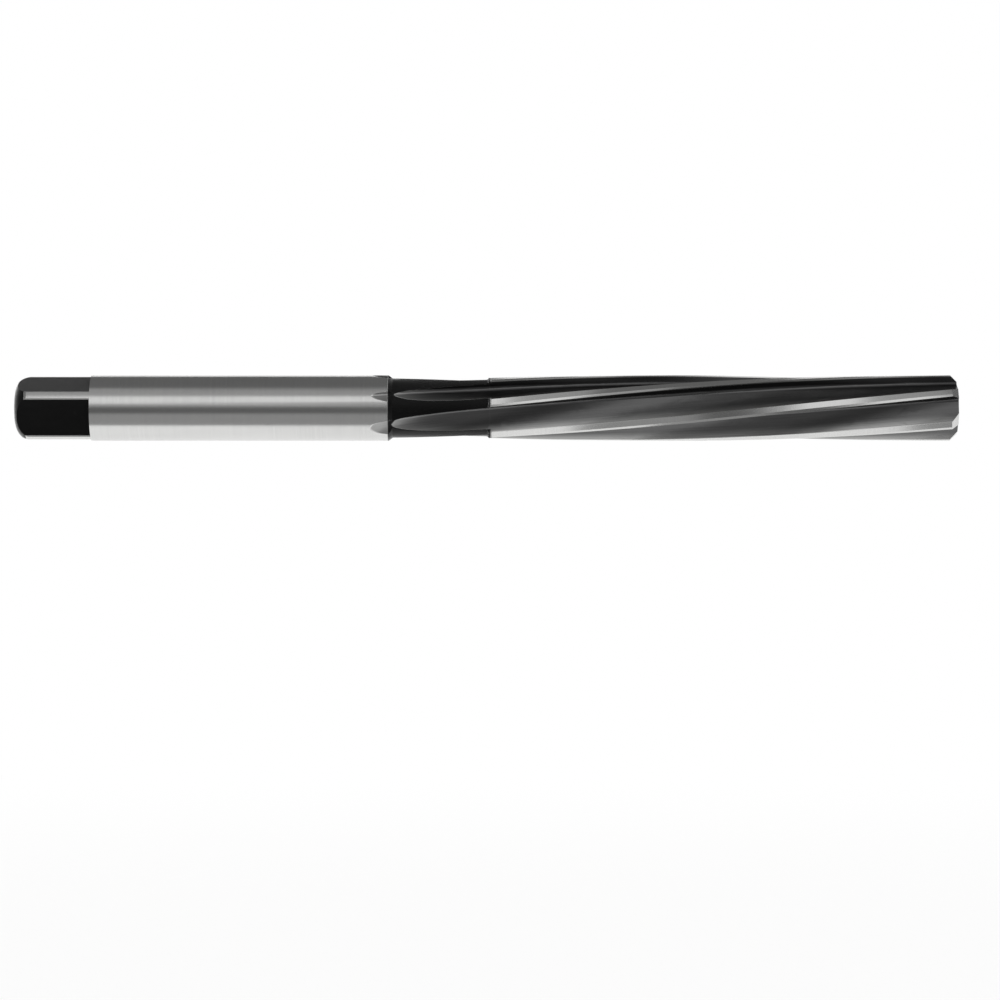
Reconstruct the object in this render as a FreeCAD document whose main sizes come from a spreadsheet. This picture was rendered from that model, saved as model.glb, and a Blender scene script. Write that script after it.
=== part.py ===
import FreeCAD, Part
import math
import os
import Sketcher

# Machine reamer with a driving square: one piece of steel, hardened and ground all over.
# The axis lies along +X, from the square's end face at the origin to the cutting point.
# Angles about the axis run from +Y towards +Z, which is also the way the tool turns to cut.
# Lengths are millimetres and angles are degrees.

SIZES = (
    ("overall_length", 115, "end face of the square to the point"),
    ("shank_diameter", 8, "plain shank"),
    ("end_face_diameter", 3.7, "flat left in the middle of the crowned end"),
    ("crown_length", 1.65, "crowned edge of the driving end, along the axis"),
    ("crown_radius", 2.3, "roundness of the crowned edge"),
    ("square_width", 6.2, "driving square, across its flats"),
    ("square_length", 9.3, "driving square, along the axis"),
    ("square_turn", 23, "turn of the flats about the axis"),
    ("neck_length", 12.2, "relieved neck between shank and lands"),
    ("neck_step", 0.38, "depth of the neck below the shank and the lands"),
    ("neck_taper", 0.5, "slope from the shank down to the neck, along the axis"),
    ("neck_fillet", 0.3, "rounded corner where the lands rise from the neck"),
    ("cut_diameter", 8, "diameter that the margins finish"),
    ("cut_length", 57.2, "fluted length between neck and point"),
    ("lead_length", 0.8, "bevel lead at the point, along the axis"),
    ("lead_angle", 45, "slope of the bevel lead"),
    ("lead_relief", 12, "clearance behind the edge of the bevel lead"),
    ("helix_angle", 6, "left-hand spiral of the flutes"),
    ("first_edge", 94, "place of the first cutting edge at the point"),
    ("first_gap", 65, "uneven spacing, first tooth to second"),
    ("second_gap", 61, "uneven spacing, second tooth to third"),
    ("land_width", 0.95, "width of every land; the flutes take the rest"),
    ("flute_depth", 1.2, "depth of the gullet below the cutting diameter"),
    ("gullet_radius", 0.4, "rounded foot of the rake face"),
    ("back_radius", 5.5, "hollow back of the flute, from gullet to heel"),
    ("margin_width", 0.3, "round margin behind each cutting edge"),
    ("relief_angle", 12, "slope of the relieved land behind the margin"),
    ("wheel_radius", 84, "grinding wheel that leaves the run-outs"),
    ("lift_direction", 25, "way the wheel leaves the flute, from the rake face"),
    ("centre_pilot", 1.25, "centre holes, pilot diameter"),
    ("centre_mouth", 2.65, "centre holes, diameter at the mouth"),
    ("centre_depth", 2.7, "centre holes, depth of the pilot's wall"),
    ("centre_cone", 60, "centre holes, angle of the cone"),
    ("drill_point", 120, "centre holes, angle of the drilled bottom"),
    ("overlap", 0.6, "how far a cutting shape stands outside the steel"),
)
PAIRS = 3                   # pairs of opposite teeth
LAND_SPANS = 8              # spans of a cutting shape along the lands
RUN_OUT_SPANS = 5           # spans along the run-out

# Radii, places and slopes that several features share.
CUT_RADIUS = "(Sizes.cut_diameter / 2)"
SHANK_RADIUS = "(Sizes.shank_diameter / 2)"
WIDEST_RADIUS = "(max(Sizes.cut_diameter; Sizes.shank_diameter) / 2)"
NECK_RADIUS = "(min(Sizes.cut_diameter; Sizes.shank_diameter) / 2 - Sizes.neck_step)"
CUTTER_RADIUS = f"({WIDEST_RADIUS} + Sizes.overlap)"
LANDS_START = "(Sizes.overall_length - Sizes.cut_length)"
NECK_START = f"({LANDS_START} - Sizes.neck_length)"
TURN_PER_LENGTH = "(360 * tan(Sizes.helix_angle) / (pi * Sizes.cut_diameter))"
LAND_ANGLE = "(360 * Sizes.land_width / (pi * Sizes.cut_diameter))"
MARGIN_ANGLE = "(360 * Sizes.margin_width / (pi * Sizes.cut_diameter))"
GAPS = ("Sizes.first_gap", "Sizes.second_gap", "(180 - Sizes.first_gap - Sizes.second_gap)")

# Marks for the points of a sketch, as Sketcher numbers them.
START, END, CENTRE = range(1, 4)
HORIZONTAL_AXIS, VERTICAL_AXIS = (-START, -END)
ORIGIN = (HORIZONTAL_AXIS, START)
NORMAL = FreeCAD.Vector(0, 0, 1)
ALONG = FreeCAD.Vector(1, 0, 0)

doc = FreeCAD.newDocument("machine_reamer")
sheet = doc.addObject("Spreadsheet::Sheet", "Sizes")
for row, (alias, value, note) in enumerate(SIZES, start=1):
    sheet.set(f"A{row}", alias)
    sheet.set(f"B{row}", str(value))
    sheet.set(f"C{row}", note)
    sheet.setAlias(f"B{row}", alias)
doc.recompute()

body = doc.addObject("PartDesign::Body", "Reamer")
body.Label = "reamer"


def number(expression):
    return float(body.evalExpression(expression))


def originFeature(role):
    return next(feature for feature in body.Origin.OriginFeatures if feature.Role == role)


def newSketch(name, plane, axis=NORMAL, turn="0", shift=("0", "0", "0")):
    # A sketch on one of the body's planes, turned about an axis and then shifted.
    sketch = body.newObject("Sketcher::SketchObject", name)
    sketch.AttachmentSupport = [(originFeature(plane), "")]
    sketch.MapMode = "FlatFace"
    sketch.AttachmentOffset = FreeCAD.Placement(FreeCAD.Vector(), FreeCAD.Rotation(axis, 1))
    sketch.setExpression("AttachmentOffset.Rotation.Angle", turn)
    for direction, distance in zip("xyz", shift):
        sketch.setExpression(f"AttachmentOffset.Base.{direction}", distance)
    return sketch


def bind(sketch, kind, where, expression):
    # A dimension of a sketch, tied to the sheet.
    index = sketch.addConstraint(Sketcher.Constraint(kind, *where, number(expression)))
    sketch.setExpression(f"Constraints[{index}]", expression)


def hold(sketch, kind, *where):
    sketch.addConstraint(Sketcher.Constraint(kind, *where))


def bindPoint(sketch, geometry, point, x, y):
    # Fixes a point by its distances from the sketch's origin.
    for kind, axis, expression in (("DistanceX", VERTICAL_AXIS, x), ("DistanceY", HORIZONTAL_AXIS, y)):
        if expression == "0":
            hold(sketch, "PointOnObject", geometry, point, axis)
        else:
            bind(sketch, kind, (*ORIGIN, geometry, point), expression)


def arcBetween(first, last, centre):
    # The arc that runs anticlockwise from first to last.
    circle = Part.Circle(centre, NORMAL, first.distanceToPoint(centre))
    angles = [math.atan2(point.y - centre.y, point.x - centre.x) for point in (first, last)]
    return Part.ArcOfCircle(circle, *angles)


def meeting(near, near_radius, far, far_radius):
    # Where two circles cross, on the left of the way from the near centre to the far one.
    gap = near.distanceToPoint(far)
    forward = (near_radius ** 2 - far_radius ** 2 + gap ** 2) / (2 * gap)
    aside = math.sqrt(near_radius ** 2 - forward ** 2)
    way = (far - near) / gap
    return near + way * forward + NORMAL.cross(way) * aside


def outline(sketch, corners):
    # A closed outline. Each corner is x, y and, where an arc leads on to the next corner,
    # the arc's radius and whether it turns left or right.
    points = [FreeCAD.Vector(number(corner[0]), number(corner[1]), 0) for corner in corners]
    ends = []
    for corner, start, end in zip(corners, points, points[1:] + points[:1]):
        if len(corner) == 2:
            index = sketch.addGeometry(Part.LineSegment(start, end), False)
            ends.append((index, START, END))
            continue
        radius, side = corner[2:]
        first, last = (start, end) if side == "left" else (end, start)
        centre = meeting(first, number(radius), last, number(radius))
        index = sketch.addGeometry(arcBetween(first, last, centre), False)
        bind(sketch, "Radius", (index,), radius)
        ends.append((index, START, END) if side == "left" else (index, END, START))
    for (index, _, end), (following, start, _) in zip(ends, ends[1:] + ends[:1]):
        hold(sketch, "Coincident", index, end, following, start)
    for (index, start, _), corner in zip(ends, corners):
        bindPoint(sketch, index, start, corner[0], corner[1])


def revolve(kind, name, sketch):
    feature = body.newObject(kind, name)
    feature.Profile = sketch
    feature.ReferenceAxis = (originFeature("X_Axis"), [""])
    feature.Angle = 360
    return feature


def loftAway(name, sections):
    # Takes away the shape that runs smoothly through the sections.
    feature = body.newObject("PartDesign::SubtractiveLoft", name)
    feature.Profile = sections[0]
    feature.Sections = [(section, [""]) for section in sections[1:]]
    feature.FuzzyTolerance = 0
    return feature


def edgeAngle(along):
    # Where the first cutting edge is, at a place along the axis.
    return f"(Sizes.first_edge + (Sizes.overall_length - ({along})) * {TURN_PER_LENGTH})"


def makeBlank():
    # Crowned end, shank, neck and the plain cylinder that the flutes are ground into.
    sketch = newSketch("BlankProfile", "XY_Plane")
    lead_start = "(Sizes.overall_length - Sizes.lead_length)"
    point_radius = f"({CUT_RADIUS} - Sizes.lead_length * tan(Sizes.lead_angle))"
    outline(sketch, (
        ("0", "0"),
        ("0", "Sizes.end_face_diameter / 2", "Sizes.crown_radius", "right"),
        ("Sizes.crown_length", SHANK_RADIUS),
        (NECK_START, SHANK_RADIUS),
        (f"{NECK_START} + Sizes.neck_taper", NECK_RADIUS),
        (f"{LANDS_START} - Sizes.neck_fillet", NECK_RADIUS, "Sizes.neck_fillet", "left"),
        (LANDS_START, f"{NECK_RADIUS} + Sizes.neck_fillet"),
        (LANDS_START, CUT_RADIUS),
        (lead_start, CUT_RADIUS),
        ("Sizes.overall_length", point_radius),
        ("Sizes.overall_length", "0"),
    ))
    revolve("PartDesign::Revolution", "Blank", sketch)


def makeSquare():
    # The four flats, milled to a sharp shoulder: all that lies round the square is taken off.
    sketch = newSketch("SquareProfile", "YZ_Plane", turn="Sizes.square_turn")
    half = "Sizes.square_width / 2"
    sides = ((half, half), (f"-{half}", half), (f"-{half}", f"-{half}"), (half, f"-{half}"))
    outline(sketch, sides)
    outer = sketch.addGeometry(Part.Circle(FreeCAD.Vector(), NORMAL, number(CUTTER_RADIUS)), False)
    hold(sketch, "Coincident", outer, CENTRE, *ORIGIN)
    bind(sketch, "Radius", (outer,), f"{SHANK_RADIUS} + Sizes.square_width")
    flats = body.newObject("PartDesign::Pocket", "SquareFlats")
    flats.Profile = sketch
    flats.Reversed = True
    flats.setExpression("Length", "Sizes.square_length")


def makeCentreHole(name, end, half_turn):
    # A pilot with a drilled bottom and a cone that the lathe centre seats in.
    sketch = newSketch(name + "Profile", "XY_Plane", turn=half_turn, shift=(end, "0", "0"))
    pilot = "Sizes.centre_pilot / 2"
    cone_depth = "(Sizes.centre_mouth - Sizes.centre_pilot) / 2 / tan(Sizes.centre_cone / 2)"
    tip_depth = f"Sizes.centre_depth + {pilot} / tan(Sizes.drill_point / 2)"
    outline(sketch, (
        ("0", "0"),
        ("0", "Sizes.centre_mouth / 2"),
        (cone_depth, pilot),
        ("Sizes.centre_depth", pilot),
        (tip_depth, "0"),
    ))
    revolve("PartDesign::Groove", name, sketch)


def fluteSection(name, edge, opening, along, lift):
    # The wheel's outline across the axis: rake face, gullet and hollow back, closed outside
    # the steel. The lift carries it out of the flute where the wheel runs out.
    turn = f"({edge} + {edgeAngle(along)})"
    way_out = f"({turn} + Sizes.lift_direction)"
    shift = (f"{lift} * cos({way_out})", f"{lift} * sin({way_out})", along)
    sketch = newSketch(name, "YZ_Plane", turn=turn, shift=shift)
    gullet_centre = f"{CUT_RADIUS} - Sizes.flute_depth + Sizes.gullet_radius"
    heel_x = f"{CUT_RADIUS} * cos({opening})"
    heel_y = f"{CUT_RADIUS} * sin({opening})"

    gullet_radius = number("Sizes.gullet_radius")
    back_radius = number("Sizes.back_radius")
    outer = FreeCAD.Vector(number(CUTTER_RADIUS), 0, 0)
    foot = FreeCAD.Vector(number(gullet_centre), 0, 0)
    gullet = foot + FreeCAD.Vector(0, gullet_radius, 0)
    heel = FreeCAD.Vector(number(heel_x), number(heel_y), 0)
    hollow = meeting(heel, back_radius, gullet, back_radius - gullet_radius)
    joint = gullet + (gullet - hollow).normalize() * gullet_radius
    corner = meeting(FreeCAD.Vector(), outer.x, hollow, back_radius)

    rake_line = sketch.addGeometry(Part.LineSegment(outer, foot), False)
    gullet_arc = sketch.addGeometry(arcBetween(joint, foot, gullet), False)
    back_arc = sketch.addGeometry(arcBetween(corner, joint, hollow), False)
    outer_arc = sketch.addGeometry(arcBetween(outer, corner, FreeCAD.Vector()), False)
    heel_point = sketch.addGeometry(Part.Point(heel), True)

    hold(sketch, "Tangent", rake_line, END, gullet_arc, END)
    hold(sketch, "Tangent", gullet_arc, START, back_arc, END)
    hold(sketch, "Coincident", back_arc, START, outer_arc, END)
    hold(sketch, "Coincident", outer_arc, START, rake_line, START)
    hold(sketch, "Coincident", outer_arc, CENTRE, *ORIGIN)
    hold(sketch, "PointOnObject", rake_line, END, HORIZONTAL_AXIS)
    hold(sketch, "PointOnObject", heel_point, START, back_arc)
    bindPoint(sketch, rake_line, START, CUTTER_RADIUS, "0")
    bindPoint(sketch, heel_point, START, heel_x, heel_y)
    bind(sketch, "DistanceX", (*ORIGIN, gullet_arc, CENTRE), gullet_centre)
    bind(sketch, "Radius", (gullet_arc,), "Sizes.gullet_radius")
    bind(sketch, "Radius", (back_arc,), "Sizes.back_radius")
    return sketch


def makeFlute(name, edge, opening):
    # One flute: true along the lands, then lifted on the wheel's arc until it has left the shank.
    beyond = "(Sizes.overall_length + Sizes.overlap)"
    clear_lift = f"(Sizes.flute_depth + {WIDEST_RADIUS} - {CUT_RADIUS} + Sizes.overlap / 2)"
    run_out = f"sqrt(2 * Sizes.wheel_radius * {clear_lift})"
    sections = []
    for step in range(LAND_SPANS + 1):
        along = f"{beyond} - (Sizes.cut_length + Sizes.overlap) * {step} / {LAND_SPANS}"
        sections.append(fluteSection(f"{name}OnLands{step}", edge, opening, along, "0"))
    for step in range(1, RUN_OUT_SPANS + 1):
        back = f"({run_out} * {step} / {RUN_OUT_SPANS})"
        lift = f"{back}^2 / (2 * Sizes.wheel_radius)"
        along = f"{LANDS_START} - {back}"
        sections.append(fluteSection(f"{name}RunOut{step}", edge, opening, along, lift))
    return loftAway(name, sections)


def makeFlutes():
    # Three flutes with wider and narrower backs, so that uneven teeth have even lands.
    # Each has its twin on the opposite side.
    flutes = []
    edge = "0"
    for number_in_turn, gap in enumerate(GAPS, start=1):
        flutes.append(makeFlute(f"Flute{number_in_turn}", edge, f"({gap} - {LAND_ANGLE})"))
        edge = f"{edge} + {gap}"
    repeatRound("Flutes", flutes, 2)


def makeLandRelief():
    # A flat that follows the spiral and drops away behind the round margin.
    beyond = "(Sizes.overall_length + Sizes.overlap)"
    flat = f"{CUT_RADIUS} * cos(Sizes.relief_angle)"
    reach = f"({CUT_RADIUS} * sin(Sizes.relief_angle) + Sizes.overlap)"
    sections = []
    for step in range(LAND_SPANS + 1):
        along = f"{beyond} - (Sizes.cut_length + 2 * Sizes.overlap) * {step} / {LAND_SPANS}"
        turn = f"{edgeAngle(along)} - {MARGIN_ANGLE} - Sizes.relief_angle"
        sketch = newSketch(f"Relief{step}", "YZ_Plane", turn=turn, shift=("0", "0", along))
        outline(sketch, (
            (flat, f"-{reach}"),
            (CUTTER_RADIUS, f"-{reach}"),
            (CUTTER_RADIUS, reach),
            (flat, reach),
        ))
        sections.append(sketch)
    return loftAway("LandRelief", sections)


def makeLeadRelief():
    # The bevel lead drops away behind its cutting edge too.
    slope = "tan(Sizes.lead_angle)"
    drop = "tan(Sizes.lead_relief) / cos(Sizes.lead_angle)"
    turn = "Sizes.first_edge"
    sections = []
    stations = (
        ("LeadReliefAhead", "Sizes.overlap / 2"),
        ("LeadReliefBehind", "-Sizes.cut_diameter / 4"),
    )
    for name, ahead in stations:
        edge_radius = f"({CUT_RADIUS} - Sizes.lead_length * {slope} + ({ahead}) * {drop})"
        shift = ("0", f"-({ahead}) * sin({turn})", f"({ahead}) * cos({turn})")
        sketch = newSketch(name, "XY_Plane", axis=ALONG, turn=turn, shift=shift)
        front = "Sizes.overall_length + Sizes.overlap"
        outline(sketch, (
            (front, f"{edge_radius} - Sizes.overlap * {slope}"),
            (front, CUTTER_RADIUS),
            (f"Sizes.overall_length - ({CUTTER_RADIUS} - {edge_radius}) / {slope}", CUTTER_RADIUS),
        ))
        sections.append(sketch)
    return loftAway("LeadRelief", sections)


def repeatRound(name, features, count, gaps=None):
    # Repeats features about the axis, evenly or with the gaps given.
    pattern = body.newObject("PartDesign::PolarPattern", name)
    pattern.Originals = features
    pattern.Axis = (originFeature("X_Axis"), [""])
    pattern.Occurrences = count
    if gaps:
        pattern.Mode = "Spacing"
        pattern.setExpression("Spacings", f"list({'; '.join(gaps)})")
    pattern.FuzzyTolerance = 0
    body.Tip = pattern


def makeReliefs():
    # The teeth stand unevenly, alike on opposite sides, so that the reamer doesn't chatter.
    gaps = GAPS + GAPS[:-1]
    repeatRound("LandReliefs", [makeLandRelief()], 2 * PAIRS, gaps)
    repeatRound("LeadReliefs", [makeLeadRelief()], 2 * PAIRS, gaps)


def writeSolids():
    for item in doc.Objects:
        if "Invalid" in item.State or "Error" in item.State:
            raise RuntimeError(f"{item.Name} failed: {item.State}")
    if body.Shape.isNull() or not body.Shape.isValid():
        raise RuntimeError("the reamer's shape is not sound")
    os.makedirs("parts", exist_ok=True)
    body.Shape.exportStep(os.path.join("parts", f"{body.Label}.step"))
    print(body.Label, len(body.Shape.Solids), "solid,", round(body.Shape.Volume, 3), "mm3")


makeBlank()
makeSquare()
makeCentreHole("DriveCentre", "0", "0")
makeCentreHole("PointCentre", "Sizes.overall_length", "180")
makeReliefs()
makeFlutes()
body.Placement = FreeCAD.Placement()
doc.recompute()
writeSolids()
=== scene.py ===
import math

import bpy
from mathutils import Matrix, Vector


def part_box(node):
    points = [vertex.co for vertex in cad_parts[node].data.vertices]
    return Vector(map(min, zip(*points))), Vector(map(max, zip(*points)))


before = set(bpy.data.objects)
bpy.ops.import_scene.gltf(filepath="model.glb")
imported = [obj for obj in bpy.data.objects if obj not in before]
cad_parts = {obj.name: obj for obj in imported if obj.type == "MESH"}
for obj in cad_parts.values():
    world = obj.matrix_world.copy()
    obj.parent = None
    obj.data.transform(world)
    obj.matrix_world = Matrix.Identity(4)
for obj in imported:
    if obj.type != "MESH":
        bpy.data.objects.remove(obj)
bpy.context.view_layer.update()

mm = 0.001
scene = bpy.context.scene
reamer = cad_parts["reamer"]
low, high = [Vector(corner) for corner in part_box("reamer")]
centre = (low + high) / 2


# small helpers that add nodes to a material and hand back their sockets

def newMaterial(name):
    material = bpy.data.materials.new(name)
    material.use_nodes = True
    return material, material.node_tree, material.node_tree.nodes["Principled BSDF"]


def feed(tree, socket, value):
    if isinstance(value, bpy.types.NodeSocket):
        tree.links.new(value, socket)
    elif value is not None:
        socket.default_value = value


def maths(tree, operation, first, second=None):
    node = tree.nodes.new("ShaderNodeMath")
    node.operation = operation
    feed(tree, node.inputs[0], first)
    feed(tree, node.inputs[1], second)
    return node.outputs[0]


def multiply(tree, first, *others):
    for other in others:
        first = maths(tree, "MULTIPLY", first, other)
    return first


def vectorMaths(tree, operation, first, second=None):
    node = tree.nodes.new("ShaderNodeVectorMath")
    node.operation = operation
    feed(tree, node.inputs[0], first)
    feed(tree, node.inputs[1], second)
    return node.outputs


def components(tree, vector):
    node = tree.nodes.new("ShaderNodeSeparateXYZ")
    tree.links.new(vector, node.inputs[0])
    return node.outputs


def combined(tree, x=None, y=None, z=None):
    node = tree.nodes.new("ShaderNodeCombineXYZ")
    for socket, value in zip(node.inputs, (x, y, z)):
        feed(tree, socket, value)
    return node.outputs[0]


def softStep(tree, value, span, first=0.0, last=1.0):
    # goes smoothly from first to last while the value goes along the span
    node = tree.nodes.new("ShaderNodeMapRange")
    node.interpolation_type = "SMOOTHSTEP"
    tree.links.new(value, node.inputs["Value"])
    for name, number in zip(("From Min", "From Max", "To Min", "To Max"), (*span, first, last)):
        node.inputs[name].default_value = number
    return node.outputs["Result"]


def without(tree, share):
    return softStep(tree, share, (0.0, 1.0), 1.0, 0.0)


def noise(tree, place, scale, rough, detail=4.0):
    stretch = tree.nodes.new("ShaderNodeMapping")
    tree.links.new(place, stretch.inputs["Vector"])
    stretch.inputs["Scale"].default_value = scale
    node = tree.nodes.new("ShaderNodeTexNoise")
    tree.links.new(stretch.outputs["Vector"], node.inputs["Vector"])
    node.inputs["Scale"].default_value = 1.0
    node.inputs["Detail"].default_value = detail
    node.inputs["Roughness"].default_value = rough
    return node.outputs["Fac"]


def mixColour(tree, share, first, second):
    node = tree.nodes.new("ShaderNodeMix")
    node.data_type = "RGBA"
    tree.links.new(share, node.inputs["Factor"])
    colours = [socket for socket in node.inputs if socket.type == "RGBA"]
    for socket, value in zip(colours, (first, second)):
        feed(tree, socket, (*value, 1.0) if isinstance(value, tuple) else value)
    return [socket for socket in node.outputs if socket.type == "RGBA"][0]


# the tool's steel: ground shank and lands, darker grooves with painted shade in the gullets and on the rake
# faces, blackened neck and square

steel = {
    "bright": (0.74, 0.74, 0.73),
    "ringShade": (0.60, 0.60, 0.595),
    "heel": (0.46, 0.46, 0.455),
    # painted shade: the groove's tone darkened down into the gullet
    "gullet": (0.15, 0.15, 0.15),
    # painted shade and painted dark reflection on the rake faces
    "rake": (0.07, 0.07, 0.071),
    "lineShade": (0.03, 0.03, 0.03),
    "black": (0.001, 0.001, 0.001),
    "wornBlack": (0.003, 0.003, 0.003),
    "groundRoughness": 0.22,
    "fluteRoughness": 0.30,
    "blackRoughness": 0.42,
    "streaks": 0.10,                            # how far the gloss wanders
    "blackSpecular": 0.15,
    "blackSheen": 1.0,
    "sheenRoughness": 0.3,
    "ringScale": (6000.0, 40.0, 40.0),          # fine rings round the shank
    "markGrain": 0.7,
    "ringSteps": (0.10, 0.45),
    "ringAmount": 0.5,
    "cloudScale": (60.0, 260.0, 260.0),         # slow changes of tone
    "cloudGrain": 0.6,
    "wearSteps": (0.35, 0.70),
    "lineScale": (60.0, 90.0, 1.0),             # wheel lines along the spiral
    "lineSteps": (0.35, 0.75),
    "lineAmount": 0.35,
    "bumpStrength": 0.10,
    "bumpDepth": 0.01 * mm,
    "spiralTurn": math.radians(1506),           # turn of the spiral in a metre
}

# where each finish and the grooves' painted shade start and stop, along the tool or out from its axis
regions = {
    "squareStops": (9.45 * mm, 9.30 * mm),
    "flatsBelow": (3.93 * mm, 3.87 * mm),
    "tipsStart": (40.0 * mm, 41.0 * mm),
    "tipsStop": (45.60 * mm, 45.45 * mm),
    "shankBelow": (3.99 * mm, 3.95 * mm),
    "neckStarts": (45.45 * mm, 45.60 * mm),
    "neckStops": (58.3 * mm, 57.9 * mm),
    "neckBelow": (3.60 * mm, 3.55 * mm),
    "cutStarts": (57.8 * mm, 58.0 * mm),
    "landBelow": (3.86 * mm, 3.81 * mm),
    # painted shade: the grooves darken from the heel down into the gullet
    "gulletToHeel": (3.05 * mm, 3.86 * mm),
    # faces that look less squarely outward, the rake faces, get the painted shade
    "rakeTurned": (0.55, 0.30),                 # how squarely a face looks outward
    "endTurned": (0.60, 0.72),                  # how squarely it looks along the tool
}


def finishShares(tree, along, radius, normal):
    neck = multiply(tree, softStep(tree, along, regions["neckStarts"]),
                    softStep(tree, along, regions["neckStops"]))
    neckGroove = softStep(tree, radius, regions["neckBelow"])
    cutGroove = multiply(tree, softStep(tree, radius, regions["landBelow"]),
                         softStep(tree, along, regions["cutStarts"]))
    tips = multiply(tree, softStep(tree, radius, regions["shankBelow"]),
                    softStep(tree, along, regions["tipsStart"]),
                    softStep(tree, along, regions["tipsStop"]))
    flute = maths(tree, "MAXIMUM", cutGroove, tips)
    flute = maths(tree, "MAXIMUM", flute, multiply(tree, neck, neckGroove))
    endFace = softStep(tree, maths(tree, "ABSOLUTE", components(tree, normal)["X"]), regions["endTurned"])
    flute = multiply(tree, flute, without(tree, endFace))
    square = multiply(tree, softStep(tree, along, regions["squareStops"]),
                      softStep(tree, radius, regions["flatsBelow"]))
    black = maths(tree, "MAXIMUM", multiply(tree, neck, without(tree, neckGroove)), square)
    return flute, black


def grooveColourWithPaintedShade(tree, along, across, up, radius, normal):
    # painted shade: darkest on the rake face and in the gullet, lighter towards the heel
    colour = mixColour(tree, softStep(tree, radius, regions["gulletToHeel"]), steel["gullet"], steel["heel"])
    outward = vectorMaths(tree, "NORMALIZE", combined(tree, y=across, z=up))["Vector"]
    facing = vectorMaths(tree, "DOT_PRODUCT", outward, normal)["Value"]
    # painted shade: faces turned away from outward darken to the rake shade
    colour = mixColour(tree, softStep(tree, facing, regions["rakeTurned"]), colour, steel["rake"])
    # the wheel's lines follow the spiral
    angle = maths(tree, "ARCTAN2", up, multiply(tree, across, -1.0))
    unwound = maths(tree, "SUBTRACT", angle, multiply(tree, along, steel["spiralTurn"]))
    lines = noise(tree, combined(tree, unwound, along), steel["lineScale"], steel["markGrain"])
    return mixColour(tree, softStep(tree, lines, steel["lineSteps"], 0.0, steel["lineAmount"]),
                     colour, steel["lineShade"])


def makeSteel():
    material, tree, shader = newMaterial("groundSteel")
    nodes, links = tree.nodes, tree.links
    place = nodes.new("ShaderNodeTexCoord").outputs["Object"]
    normal = nodes.new("ShaderNodeNewGeometry").outputs["Normal"]
    along, across, up = components(tree, place)
    radius = maths(tree, "SQRT", maths(tree, "ADD", multiply(tree, across, across), multiply(tree, up, up)))
    flute, black = finishShares(tree, along, radius, normal)

    rings = noise(tree, place, steel["ringScale"], steel["markGrain"])
    cloud = noise(tree, place, steel["cloudScale"], steel["cloudGrain"])
    ground = mixColour(tree, softStep(tree, multiply(tree, rings, cloud), steel["ringSteps"],
                                      0.0, steel["ringAmount"]), steel["bright"], steel["ringShade"])
    oxide = mixColour(tree, softStep(tree, cloud, steel["wearSteps"]), steel["black"], steel["wornBlack"])
    colour = mixColour(tree, flute, ground, grooveColourWithPaintedShade(tree, along, across, up, radius, normal))
    links.new(mixColour(tree, black, colour, oxide), shader.inputs["Base Color"])

    # bright steel is bare metal, and the blackened skin isn't
    links.new(without(tree, black), shader.inputs["Metallic"])
    links.new(multiply(tree, black, steel["blackSheen"]), shader.inputs["Sheen Weight"])
    shader.inputs["Sheen Roughness"].default_value = steel["sheenRoughness"]
    shader.inputs["Specular IOR Level"].default_value = steel["blackSpecular"]
    wander = [multiply(tree, maths(tree, "SUBTRACT", marks, 0.5), steel["streaks"])
              for marks in (rings, cloud)]
    rough = softStep(tree, flute, (0.0, 1.0), steel["groundRoughness"], steel["fluteRoughness"])
    dulled = softStep(tree, black, (0.0, 1.0), 0.0, steel["blackRoughness"] - steel["groundRoughness"])
    for share in (maths(tree, "ADD", *wander), dulled):
        rough = maths(tree, "ADD", rough, share)
    links.new(rough, shader.inputs["Roughness"])

    bump = nodes.new("ShaderNodeBump")
    bump.inputs["Strength"].default_value = steel["bumpStrength"]
    bump.inputs["Distance"].default_value = steel["bumpDepth"]
    links.new(rings, bump.inputs["Height"])
    links.new(bump.outputs[0], shader.inputs["Normal"])
    return material


reamer.data.materials.clear()
reamer.data.materials.append(makeSteel())
print("steel done")


# a wide pale floor and a white backdrop, inside a grey room that shows only in reflections

studio = {
    "drop": 85 * mm,                    # from the tool's axis down to the floor
    "reach": 2.0,
    "floorColour": (0.80, 0.80, 0.795),
    "whiteShare": 0.86,                 # the rest is plain paint, which takes the shadow
    "fade": (0.15, 0.60),               # distance over which the floor turns all white
    "backdropDistance": 0.9,
    "backdropTop": 0.60,
    "cardEdge": 41 * mm,                # the grey card starts this far in front of the axis
    "cardLift": 1 * mm,
    "cardFade": (-0.26, -0.20),
    "cardLevel": 0.31,
    "cardFarLevel": 0.112,
    "roomLevel": 0.14,
}
floorHeight = centre.z - studio["drop"]
left, right = centre.x - studio["reach"], centre.x + studio["reach"]


def panel(name, corners, material, faces=((0, 1, 2, 3),), onlyReflected=False):
    mesh = bpy.data.meshes.new(name)
    mesh.from_pydata(corners, [], faces)
    mesh.materials.append(material)
    thing = bpy.data.objects.new(name, mesh)
    scene.collection.objects.link(thing)
    if onlyReflected:
        thing.visible_camera = False
        thing.visible_diffuse = False
        thing.visible_transmission = False
        thing.visible_shadow = False


def level(front, back, height):
    return [(left, front, height), (right, front, height), (right, back, height), (left, back, height)]


def seenRay(tree):
    path = tree.nodes.new("ShaderNodeLightPath").outputs
    return maths(tree, "MAXIMUM", path["Is Camera Ray"],
                 maths(tree, "MAXIMUM", path["Is Glossy Ray"], path["Is Transmission Ray"]))


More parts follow.
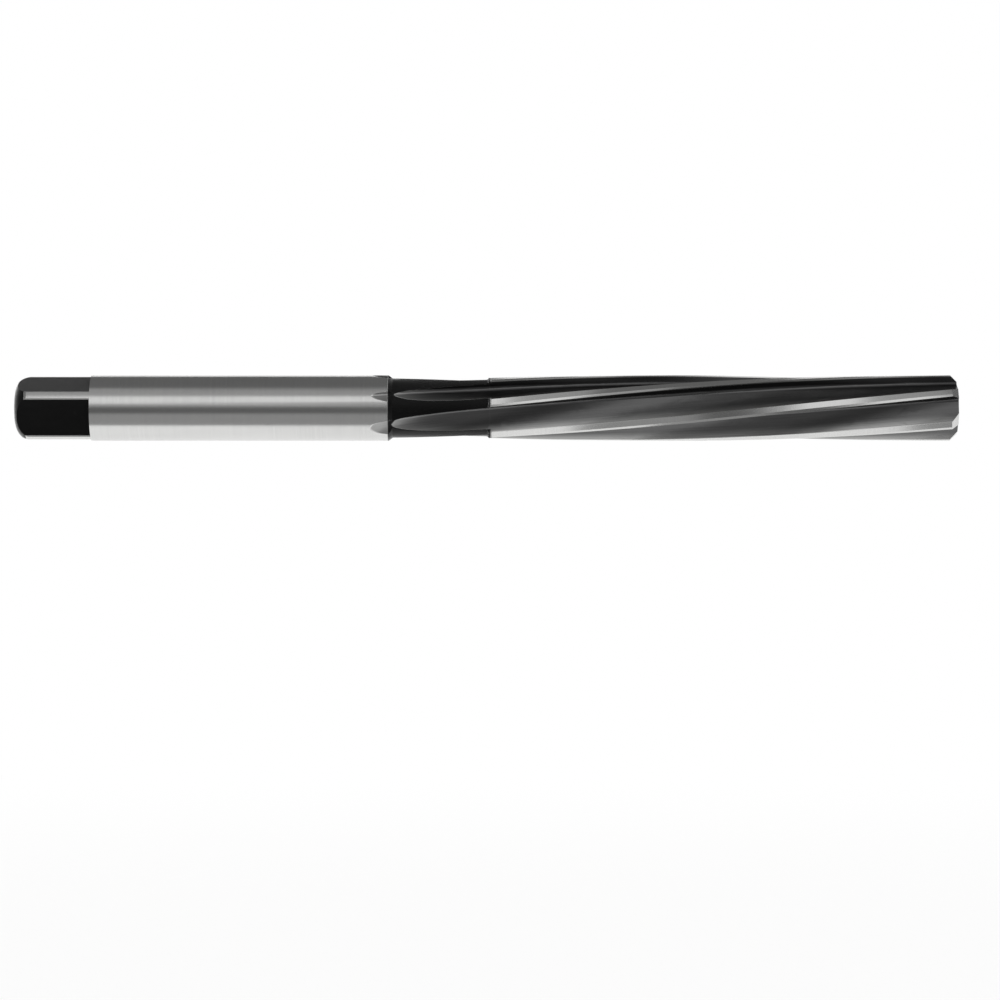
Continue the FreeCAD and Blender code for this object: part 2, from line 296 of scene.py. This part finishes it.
def paleMaterial(name):
    material, tree, shader = newMaterial(name)
    nodes, links = tree.nodes, tree.links
    shader.inputs["Base Color"].default_value = (*studio["floorColour"], 1.0)
    shader.inputs["Roughness"].default_value = 1.0
    shader.inputs["Specular IOR Level"].default_value = 0.0
    place = nodes.new("ShaderNodeTexCoord").outputs["Object"]
    distance = vectorMaths(tree, "DISTANCE", place, (centre.x, 0.0, floorHeight))["Value"]
    whiteness = softStep(tree, distance, studio["fade"], studio["whiteShare"], 1.0)
    mix = nodes.new("ShaderNodeMixShader")
    links.new(multiply(tree, seenRay(tree), whiteness), mix.inputs["Fac"])
    links.new(shader.outputs[0], mix.inputs[1])
    links.new(nodes.new("ShaderNodeEmission").outputs[0], mix.inputs[2])
    links.new(mix.outputs[0], nodes["Material Output"].inputs["Surface"])
    return material


def glowMaterial(name):
    material, tree, shader = newMaterial(name)
    tree.nodes.remove(shader)
    glow = tree.nodes.new("ShaderNodeEmission")
    tree.links.new(glow.outputs[0], tree.nodes["Material Output"].inputs["Surface"])
    return material, tree, glow.inputs["Strength"]


def makeFloor():
    panel("floor", level(-studio["reach"], studio["reach"], floorHeight), paleMaterial("paleFloor"))
    back, top = studio["backdropDistance"], studio["backdropTop"]
    upright = [(left, back, floorHeight), (right, back, floorHeight), (right, back, top), (left, back, top)]
    panel("backdrop", upright, paleMaterial("whiteBackdrop"))


def makeCard():
    material, tree, strength = glowMaterial("greyCard")
    place = components(tree, tree.nodes.new("ShaderNodeTexCoord").outputs["Object"])
    levels = studio["cardFarLevel"], studio["cardLevel"]
    tree.links.new(softStep(tree, place["Y"], studio["cardFade"], *levels), strength)
    panel("frontCard", level(-studio["reach"], -studio["cardEdge"], floorHeight + studio["cardLift"]),
          material, onlyReflected=True)


def makeRoom():
    material, tree, strength = glowMaterial("greyRoom")
    strength.default_value = studio["roomLevel"]
    reach = studio["reach"]
    walls = ((0, 1, 5, 4), (1, 2, 6, 5), (2, 3, 7, 6), (3, 0, 4, 7), (4, 5, 6, 7))
    panel("room", level(-reach, reach, floorHeight) + level(-reach, reach, reach), material, walls, True)


makeFloor()
makeCard()
makeRoom()


# soft lights over the camera: angle above level, distance, size, brightness

lamps = {
    "frontSoftbox": {"angle": 27, "distance": 1.2, "size": (2.4, 0.58), "level": 0.52, "reflected": True},
    "frontFill": {"angle": 38, "distance": 1.4, "size": (2.4, 1.9), "level": 0.21, "reflected": True},
    "topSoftbox": {"angle": 80, "distance": 1.3, "size": (1.6, 1.6), "level": 2.6, "reflected": False},
}


def makeLamp(name, look):
    data = bpy.data.lights.new(name, "AREA")
    data.shape = "RECTANGLE"
    data.size, data.size_y = look["size"]
    data.energy = look["level"] * math.pi * data.size * data.size_y
    lamp = bpy.data.objects.new(name, data)
    angle = math.radians(look["angle"])
    lamp.location = (centre.x, -look["distance"] * math.cos(angle), look["distance"] * math.sin(angle))
    lamp.rotation_euler = (centre - lamp.location).to_track_quat("-Z", "Y").to_euler()
    lamp.visible_glossy = look["reflected"]
    scene.collection.objects.link(lamp)


for name, look in lamps.items():
    makeLamp(name, look)


def makeWorld():
    world = bpy.data.worlds.new("studio")
    scene.world = world
    world.use_nodes = True
    tree = world.node_tree
    background = tree.nodes["Background"]
    background.inputs["Color"].default_value = (1.0, 1.0, 1.0, 1.0)
    tree.links.new(softStep(tree, seenRay(tree), (0.0, 1.0), studio["roomLevel"], 1.0),
                   background.inputs["Strength"])


makeWorld()
print("studio done")


# level camera, square on to the tool, with the frame's middle below its axis

view = {
    "distance": 500 * mm,
    "width": 122.28 * mm,
    "middle": 59.2 * mm,
    "below": 11.24 * mm,
    "sensor": 36,
    "clip": 10 * mm,
}
camera = bpy.data.objects.new("camera", bpy.data.cameras.new("camera"))
camera.location = (low.x + view["middle"], -view["distance"], centre.z - view["below"])
camera.rotation_euler = (math.radians(90), 0, 0)
camera.data.sensor_width = view["sensor"]
camera.data.lens = view["sensor"] * view["distance"] / view["width"]
camera.data.clip_start = view["clip"]
scene.collection.objects.link(camera)
scene.camera = camera
scene.view_settings.view_transform = "Standard"
print("camera done")
